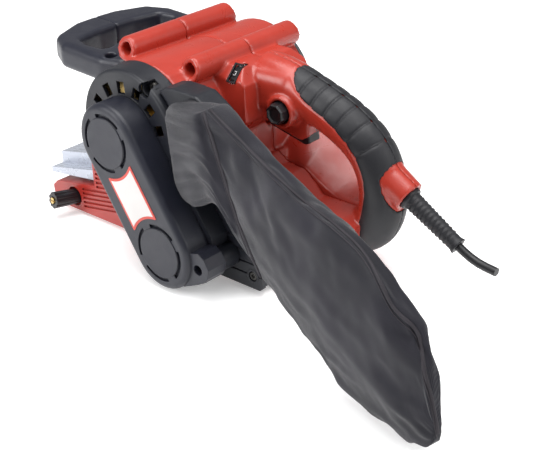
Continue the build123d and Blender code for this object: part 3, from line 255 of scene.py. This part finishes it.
def tube(name, path, radius, mat, sides):
    """Round tube swept along points, closed at both ends."""
    verts, faces = [], []
    count = len(path)
    normal = None
    for i, p in enumerate(path):
        t = (path[min(i + 1, count - 1)] - path[max(i - 1, 0)]).normalized()
        if normal is None:
            normal = t.orthogonal().normalized()
        normal = (normal - t * normal.dot(t)).normalized()
        other = t.cross(normal)
        for k in range(sides):
            turn = 2 * math.pi * k / sides
            verts.append(p + (normal * math.cos(turn) + other * math.sin(turn)) * radius)
    for i in range(count - 1):
        for k in range(sides):
            a, b = i * sides + k, i * sides + (k + 1) % sides
            faces.append((a, b, b + sides, a + sides))
    faces.append(tuple(range(sides)))
    faces.append(tuple((count - 1) * sides + k for k in reversed(range(sides))))
    return make_mesh(name, verts, faces, mat)


def smooth_shell(node, body, mat, voxel, rounds, shape):
    """Rounded skin of a moulded piece: its CAD solid remeshed finely and relaxed."""
    source = NODES[node]
    me = source.data.copy()
    me.transform(source.matrix_world)
    skin = link(bpy.data.objects.new(node + "_skin", me))
    modifier(skin, "REMESH", mode="VOXEL", voxel_size=voxel)
    modifier(skin, "SMOOTH", factor=0.5, iterations=rounds)
    apply_all(skin)
    if shape:
        shape(skin.data)
    skin.data.materials.clear()
    skin.data.materials.append(mat)
    for p in skin.data.polygons:
        p.use_smooth = True
    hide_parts(node)
    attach(skin, body)


# Centre line of the rear handle, (x, z) in millimetres, as in the CAD.
HANDLE_LINE = [Vector((x, 0, z)) * MM for x, z in (
    (-56, 131), (-72, 129.5), (-90, 124.5), (-108, 118.5), (-122, 113), (-136, 105.5), (-147, 96), (-154, 84),
    (-157.2, 70), (-156.5, 56), (-151, 43.5), (-141, 35.5), (-128, 33))]
LINE = sample_curve(HANDLE_LINE)
REACH = [0.0]
for a, b in zip(LINE, LINE[1:]):
    REACH.append(REACH[-1] + (b - a).length)

GRIP_SKIN = 0.0148               # nearer to the centre line than this is the inside of the rubber
GROOVES_FROM, GROOVES_TO = 0.034, 0.104
GROOVE_PITCH = 0.0118


def grip_ribs(me):
    """Cross grooves pressed into the upper part of the rubber grip, with soft pillows between them."""
    normals = [v.normal.copy() for v in me.vertices]
    for v, normal in zip(me.vertices, normals):
        near = min(range(len(LINE)), key=lambda i: (LINE[i] - v.co).length_squared)
        if (LINE[near] - v.co).length < GRIP_SKIN:
            continue
        along = REACH[near]
        if near + 1 < len(LINE):
            step = (LINE[near + 1] - LINE[near]).normalized()
            along += (v.co - LINE[near]).dot(step)
        if GROOVES_FROM < along < GROOVES_TO:
            turn = (along - 0.040) / GROOVE_PITCH
            away = abs(turn - round(turn)) * GROOVE_PITCH / MM
            groove = 0.75 * math.exp(-(away / 0.8) ** 2)
            pillow = 0.25 * math.exp(-(away / 3.0) ** 2)
            v.co -= normal * MM * (groove + pillow)


SLEEVE_ROOT = Vector((-0.1795, 0, 0.0696))
SLEEVE_AXIS = Vector((-0.858, 0, -0.515)).normalized()
SLEEVE_PITCH = 0.0034


def sleeve_rings(me):
    """Shallow rings round the cable boot."""
    for v in me.vertices:
        along = (v.co - SLEEVE_ROOT).dot(SLEEVE_AXIS)
        out = (v.co - SLEEVE_ROOT) - SLEEVE_AXIS * along
        if 0.005 < along < 0.040 and out.length > 0.0042:
            v.co += out.normalized() * 0.0003 * math.cos(2 * math.pi * along / SLEEVE_PITCH)


# Softened pieces: node, body, material, remesh voxel, rounds of smoothing and any extra shaping.
SHELLS = (
    ("cord_sleeve", ROOT, RIBBED, 0.0006, 2, sleeve_rings),
    ("trigger", "trigger", BLACK, 0.0007, 5, None),
    ("dust_duct", ROOT, DARK_SOFT, 0.0009, 7, None),
    ("motor_housing_left", ROOT, SMOOTH_RED, 0.0011, 9, None),
    ("motor_housing_right", ROOT, SMOOTH_RED, 0.0011, 9, None),
    ("front_handle_left", ROOT, SMOOTH_DARK, 0.0011, 9, None),
    ("front_handle_right", ROOT, SMOOTH_DARK, 0.0011, 9, None),
    ("handle_grip_left", ROOT, RIBBED, 0.0009, 4, grip_ribs),
    ("handle_grip_right", ROOT, RIBBED, 0.0009, 4, grip_ribs))
for shell in SHELLS:
    smooth_shell(*shell)


# ---------------------------------------------------------------- label, dial number and lock button
def flat_patch(name, outline, y, mat):
    """Thin flat piece facing left, from a closed outline in x and z."""
    n = len(outline)
    verts = [Vector((x, y + dy, z)) for dy in (0.0, 0.00012) for x, z in outline]
    faces = [tuple(range(n)), tuple(range(2 * n - 1, n - 1, -1))]
    faces += [(i, (i + 1) % n, (i + 1) % n + n, i + n) for i in range(n)]
    return make_mesh(name, verts, faces, mat, smooth=False)


def centre_xz(node):
    low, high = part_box(node)
    return Vector(((low.x + high.x) / 2, (low.z + high.z) / 2))


label_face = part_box("rating_label")[1].y
upper = centre_xz("armature_shaft")
lower = centre_xz("drum_shaft")
axis = (lower - upper).normalized()
across = Vector((-axis.y, axis.x))
middle = (lower + upper) / 2
span = (lower - upper).length


def label_outline(half_width, half_length, clear):
    """Strip along the cover between its two discs, its ends hollowed by circles of radius clear."""
    outline = []
    for side in (1, -1):
        ts = [half_width * (1 - 2 * i / 12) for i in range(13)]
        for t in ts:
            reach = min(half_length, span / 2 - math.sqrt(max(0.0, clear ** 2 - t * t)))
            outline.append(middle + axis * side * reach + across * side * t)
    return outline


paper = flat_patch("rating_label_face", label_outline(0.0127, 0.0180, 0.0274), label_face + 0.00002, PAPER)
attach(paper, ROOT)

# The lock button: an eight-sided push button with a shallow dish, as (y, radius) rings.
SIDES = 8
lock_lo, lock_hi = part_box("lock_button")
lock_mid = (lock_lo + lock_hi) / 2
profile = ((lock_lo.y, 0.0077), (lock_hi.y - 0.0014, 0.0077), (lock_hi.y, 0.0070), (lock_hi.y, 0.0062),
           (lock_hi.y - 0.0013, 0.0052), (lock_hi.y - 0.0016, 0.0030))
verts, faces = [], []
for y, r in profile:
    for k in range(SIDES):
        a = math.pi * (2 * k + 1) / SIDES
        verts.append(Vector((lock_mid.x + r * math.cos(a), y, lock_mid.z + r * math.sin(a))))
for i in range(len(profile) - 1):
    for k in range(SIDES):
        a, b = i * SIDES + k, i * SIDES + (k + 1) % SIDES
        faces.append((a, b, b + SIDES, a + SIDES))
faces.append(tuple(range(SIDES)))
faces.append(tuple(len(verts) - SIDES + k for k in range(SIDES)))
button = make_mesh("lock_button_cap", verts, faces, BLACK, smooth=False)
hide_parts("lock_button")
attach(button, "lock_button")

# Numbers 1 to 6 round the rim of the speed dial.
STROKES = {
    1: ((0.5, 0.0), (0.5, 1.0), (0.2, 0.75)),
    2: ((0, 1), (1, 1), (1, 0.55), (0, 0.45), (0, 0), (1, 0)),
    3: ((0, 1), (1, 1), (1, 0.5), (0.3, 0.5), (1, 0.5), (1, 0), (0, 0)),
    4: ((0, 1), (0, 0.45), (1, 0.45), (1, 1), (1, 0)),
    5: ((1, 1), (0, 1), (0, 0.55), (1, 0.5), (1, 0), (0, 0)),
    6: ((1, 1), (0, 1), (0, 0), (1, 0), (1, 0.5), (0, 0.5))}
dial_lo, dial_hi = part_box("speed_dial")
dial_mid = (dial_lo + dial_hi) / 2
dial_r = (dial_hi.z - dial_lo.z) / 2
DIGIT_W, DIGIT_H = 0.0018, 0.0028
for number, strokes in STROKES.items():
    turn = math.radians(46 + 45 * (number - 3))
    out = Vector((0, math.sin(turn), math.cos(turn)))
    up = Vector((0, -math.cos(turn), math.sin(turn)))
    trace = [dial_mid + out * (dial_r - 0.00012) + up * DIGIT_H * (b - 0.5) + Vector((-DIGIT_W * (a - 0.5), 0, 0))
             for a, b in strokes]
    digit = tube("dial_number_%d" % number, trace, 0.00024, DIGIT, 6)
    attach(digit, "speed_dial")


# ---------------------------------------------------------------- dust bag
# The bag hangs in a plane from its collar to its tip; stations give its upper and lower
# edge as (along, up) in that plane and half its edge thickness, in millimetres.
collar_lo, collar_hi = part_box("bag_collar")
BAG_START = Vector((-66, 90, 103))
BAG_TIP = Vector((-300, 145, 15))
ALONG = (BAG_TIP - BAG_START).normalized()
UPWARD = (Vector((0, 0, 1)) - ALONG * ALONG.z).normalized()
OUTWARD = ALONG.cross(UPWARD) * -1
if OUTWARD.y < 0:
    OUTWARD = OUTWARD * -1
BAG_ROWS = (
    ((10, 46), (56, 4), 13), ((17, 52), (92, -11), 10), ((34, 55), (107, -18), 7), ((60, 57), (124, -21), 6),
    ((90, 60), (142, -24), 5), ((120, 63), (161, -26), 5), ((148, 69), (184, -27), 5), ((172, 71), (204, -23), 5),
    ((196, 67), (222, -18), 5), ((218, 58), (238, -13), 5), ((231, 46), (244, -8), 4), ((243, 30), (252, -2), 3.4),
    ((251, 17), (255, 5), 2.4))


def bag_point(s, t, n):
    return (BAG_START + ALONG * s + UPWARD * t + OUTWARD * n) * MM


def bag_ring(row, front, gusset):
    """Closed outline: up the front panel, over the top, down the back and under."""
    (us, ut), (ls, lt), half = row
    ring = []
    for i in range(front):
        f = i / front
        ring.append(bag_point(ls + (us - ls) * f, lt + (ut - lt) * f, half))
    for i in range(gusset):
        f = i / gusset
        ring.append(bag_point(us, ut, half - 2 * half * f))
    for i in range(front):
        f = i / front
        ring.append(bag_point(us + (ls - us) * f, ut + (lt - ut) * f, -half))
    for i in range(gusset):
        f = i / gusset
        ring.append(bag_point(ls, lt, -half + 2 * half * f))
    return ring


COLLAR_R = 0.0156


def mouth_ring(y, r, count):
    """Points round the collar's slot: from the bottom, up the front side, over the top and down."""
    top = Vector((collar_hi.x - COLLAR_R, y, collar_hi.z - COLLAR_R))
    low = Vector((collar_lo.x + COLLAR_R, y, collar_lo.z + COLLAR_R))
    straight = (top - low).length
    total = 2 * straight + 2 * math.pi * r
    ring = []
    for i in range(count):
        d = total * i / count
        quarter = math.pi * r / 2
        if d < quarter:
            a = -math.pi / 2 + d / r
            ring.append(low + Vector((math.cos(a), 0, math.sin(a))) * r)
        elif d < quarter + straight:
            ring.append(low.lerp(top, (d - quarter) / straight) + Vector((r, 0, 0)))
        elif d < 3 * quarter + straight:
            a = (d - quarter - straight) / r
            ring.append(top + Vector((math.cos(a), 0, math.sin(a))) * r)
        elif d < 3 * quarter + 2 * straight:
            ring.append(top.lerp(low, (d - 3 * quarter - straight) / straight) - Vector((r, 0, 0)))
        else:
            a = math.pi + (d - 3 * quarter - 2 * straight) / r
            ring.append(low + Vector((math.cos(a), 0, math.sin(a))) * r)
    return ring


def build_bag():
    front, gusset = 30, 5
    count = 2 * (front + gusset)
    keys = [mouth_ring(collar_hi.y - 0.0035, COLLAR_R - 0.0008, count),
            mouth_ring(collar_hi.y + 0.0010, COLLAR_R - 0.0004, count),
            mouth_ring(collar_hi.y + 0.0050, COLLAR_R + 0.0016, count)]
    for row in BAG_ROWS:
        keys.append(bag_ring(row, front, gusset))
    rings = []
    steps = [1, 1, 7, 4, 4, 5, 6, 7, 7, 7, 6, 6, 6, 4, 3]
    for i, n in enumerate(steps):
        for k in range(n):
            t = i + k / n
            rings.append([catmull([key[j] for key in keys], t) for j in range(count)])
    rings.append(keys[-1])
    verts = [v for ring in rings for v in ring]
    faces = []
    for i in range(len(rings) - 1):
        for j in range(count):
            a, b = i * count + j, i * count + (j + 1) % count
            faces.append((a, b, b + count, a + count))
    last = (len(rings) - 1) * count
    faces.append(tuple(last + j for j in range(count)))
    return verts, faces, count


FABRIC, nt, bsdf = new_material("bag_fabric")
weave_a = texture(nt, "ShaderNodeTexWave", 520.0, 2.0, 0.6)
weave_b = texture(nt, "ShaderNodeTexWave", 520.0, 2.0, 0.6, (-1, 1, 1))
mixed = nt.nodes.new("ShaderNodeMath")
mixed.operation = "MULTIPLY"
nt.links.new(weave_a.outputs[1], mixed.inputs[0])
nt.links.new(weave_b.outputs[1], mixed.inputs[1])
drift = texture(nt, "ShaderNodeTexNoise", 22.0, 5.0, 0.5)
tone = ramp(nt, drift.outputs[0], (0.009, 0.009, 0.013, 1), (0.018, 0.017, 0.024, 1), 0.3, 0.7)
nt.links.new(tone.outputs[0], bsdf.inputs["Base Color"])
bsdf.inputs["Roughness"].default_value = 0.78
bsdf.inputs["Sheen Weight"].default_value = 0.22
bsdf.inputs["Sheen Roughness"].default_value = 0.45
bsdf.inputs["Specular IOR Level"].default_value = 0.2
weave_bump = nt.nodes.new("ShaderNodeBump")
weave_bump.inputs["Strength"].default_value = 0.35
weave_bump.inputs["Distance"].default_value = 0.00035
nt.links.new(mixed.outputs[0], weave_bump.inputs["Height"])
nt.links.new(weave_bump.outputs[0], bsdf.inputs["Normal"])


MOVE_CAP = 0.024                # furthest a point of the cloth may travel while it inflates
CLOTH_FRAMES = 20


def sew_bag():
    """The bag's cloth: lofted panels, inflated by a short simulation, then creased."""
    verts, faces, count = build_bag()
    bag = make_mesh("dust_bag_fabric", verts, faces, FABRIC)
    me = bag.data
    rng = random.Random(7)
    seed = Vector((rng.random() * 50, rng.random() * 50, rng.random() * 50))
    for v in me.vertices:
        ring_no = v.index // count
        if ring_no > 4:
            v.co += v.normal * 0.0016 * noise.noise(v.co * 38 + seed)
    pins = bag.vertex_groups.new(name="pins")
    for v in me.vertices:
        ring_no = v.index // count
        if ring_no < 3:
            pins.add([v.index], 1.0, "REPLACE")
        elif ring_no < 6:
            pins.add([v.index], 0.6 - 0.2 * (ring_no - 3), "REPLACE")
    cloth = modifier(bag, "CLOTH")
    cset = cloth.settings
    cset.quality = 8
    cset.mass = 0.25
    cset.vertex_group_mass = "pins"
    cset.tension_stiffness = 18
    cset.compression_stiffness = 14
    cset.shear_stiffness = 6
    cset.bending_stiffness = 0.4
    cset.air_damping = 4
    cset.use_pressure = True
    cset.uniform_pressure_force = 4.0
    cset.shrink_min = -0.035
    cset.effector_weights.gravity = 0.0
    cloth.collision_settings.use_collision = False
    cloth.collision_settings.use_self_collision = False
    scene = bpy.context.scene
    scene.frame_start, scene.frame_end = 1, CLOTH_FRAMES
    before = [v.co.copy() for v in me.vertices]
    for f in range(1, CLOTH_FRAMES + 1):
        scene.frame_set(f)
    apply_all(bag)
    for v, old in zip(bag.data.vertices, before):
        move = v.co - old
        if move.length > MOVE_CAP:
            v.co = old + move.normalized() * MOVE_CAP
    crease_bag(bag, count)
    return bag


def ridge(x, y, z):
    """Smooth noise with sharp crests, like creased cloth."""
    return 0.5 - min(1.0, 2.2 * abs(noise.noise(Vector((x, y, z)))))


def crease_bag(bag, count):
    """Long soft folds along the bag, small creases across it and gathers at its mouth, in millimetres."""
    me = bag.data
    me.update()
    normals = [v.normal.copy() for v in me.vertices]
    rings = len(me.vertices) // count
    for v, normal in zip(me.vertices, normals):
        ring_no, j = divmod(v.index, count)
        place = v.co / MM - BAG_START
        s, t = place.dot(ALONG), place.dot(UPWARD)
        grow = min(1.0, max(0.0, (ring_no - 5) / 10))
        fade = min(1.0, max(0.0, (rings - ring_no) / 6))
        n = normal.dot(OUTWARD)
        fold = 3.0 * ridge(s * 0.008 + 4.0, t * 0.030 - s * 0.004, 2.3 + n)
        fold += 1.5 * ridge(s * 0.020 + t * 0.012, t * 0.055 - s * 0.016, 7.7 + n)
        fold += 0.5 * ridge(s * 0.07 + t * 0.05, t * 0.09 - s * 0.05, 1.7 + n)
        gather = 0.0
        if ring_no > 2:
            settle = min(1.0, (ring_no - 2) / 3) * max(0.0, 1 - (ring_no - 2) / 16)
            gather = 1.5 * settle * math.cos(2 * math.pi * 17 * j / count + 1.5 * math.sin(j * 0.7))
        v.co += normal * MM * (grow * fade * fold + gather)


bag = sew_bag()
modifier(bag, "SUBSURF", levels=1, render_levels=1)
apply_all(bag)
for p in bag.data.polygons:
    p.use_smooth = True
bag_tree = bvhtree.BVHTree.FromPolygons([v.co for v in bag.data.vertices],
                                        [tuple(p.vertices) for p in bag.data.polygons])
# Seams as (along, up) in the bag's plane, laid on the cloth along the camera's line of sight.
SEAMS = {
    "top": ((15, 48), (102, 55), (146, 64), (174, 66), (203, 54), (227, 55), (238, 37), (250, 25), (262, 9)),
    "side": ((10, 41), (22, 31), (35, 19), (65, -7), (85, -20), (103, -31))}
for label, points in SEAMS.items():
    points = [Vector((s, t, 0)) for s, t in points]
    for offset, width in ((0.0, 0.0011), (4.0, 0.0004)):
        trace = []
        for q in sample_curve(points):
            origin = bag_point(q.x, q.y - offset, 0) - VIEW_DIR * 0.2
            hit, normal = bag_tree.ray_cast(origin, VIEW_DIR)[:2]
            if hit is not None:
                trace.append(hit + normal * width * 0.1)
        if len(trace) > 3:
            seam = tube("bag_%s_seam_%d" % (label, int(offset)), trace, width, THREAD, 8)
            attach(seam, "dust_bag")
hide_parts("dust_bag")
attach(bag, "dust_bag")


# ---------------------------------------------------------------- camera, light and floor
def aim(obj, target):
    obj.rotation_mode = "QUATERNION"
    obj.rotation_quaternion = (target - obj.location).to_track_quat("-Z", "Y")


cam = link(bpy.data.objects.new("camera", bpy.data.cameras.new("camera")))
right = Vector((-0.7394, -0.6719, -0.0424))
down = Vector((-0.2746, 0.3584, -0.8923))
basis = Matrix((right, -down, -VIEW_DIR)).transposed()
cam.matrix_world = Matrix.Translation((-0.6287, 0.6050, 0.4306)) @ basis.to_4x4()
cam.data.lens = 81.8
cam.data.sensor_width = 36.0
cam.data.clip_start = 0.01
bpy.context.scene.camera = cam


def area(name, place, target, size, power):
    data = bpy.data.lights.new(name, "AREA")
    data.shape = "RECTANGLE"
    data.size, data.size_y = size
    data.energy = power
    lamp = link(bpy.data.objects.new(name, data))
    lamp.location = place
    aim(lamp, Vector(target))


area("top_softbox", (-0.15, 0.10, 1.3), (-0.05, 0.0, 0.05), (1.1, 1.1), 22)
area("left_softbox", (0.55, 1.25, 0.75), (0.0, 0.05, 0.08), (0.8, 0.8), 15)
area("rear_softbox", (-1.25, -0.35, 0.75), (-0.05, 0.0, 0.08), (0.8, 0.8), 6)

FLOOR, nt, bsdf = new_material("floor")
speck = texture(nt, "ShaderNodeTexNoise", 60.0, 3.0)
pale = ramp(nt, speck.outputs[0], grey(0.93), grey(0.95))
nt.links.new(pale.outputs[0], bsdf.inputs["Base Color"])
bsdf.inputs["Roughness"].default_value = 0.75
bsdf.inputs["Emission Color"].default_value = (1, 1, 1, 1)
bsdf.inputs["Emission Strength"].default_value = 0.30
world = bpy.data.worlds.new("studio")
bpy.context.scene.world = world
world.use_nodes = True
world.node_tree.nodes["Background"].inputs[0].default_value = (1, 1, 1, 1)
world.node_tree.nodes["Background"].inputs[1].default_value = 0.36

low_corner, high_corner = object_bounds()
floor_z = min(low_corner.z, 0.0) - 0.0002
R = 5.0
floor = make_mesh("studio_floor", [(-R, -R, floor_z), (R, -R, floor_z), (R, R, floor_z), (-R, R, floor_z)],
                  [(0, 1, 2, 3)], FLOOR, smooth=False)

scene = bpy.context.scene
scene.view_settings.view_transform = "Standard"
scene.view_settings.look = "None"
scene.view_settings.exposure = 0.0
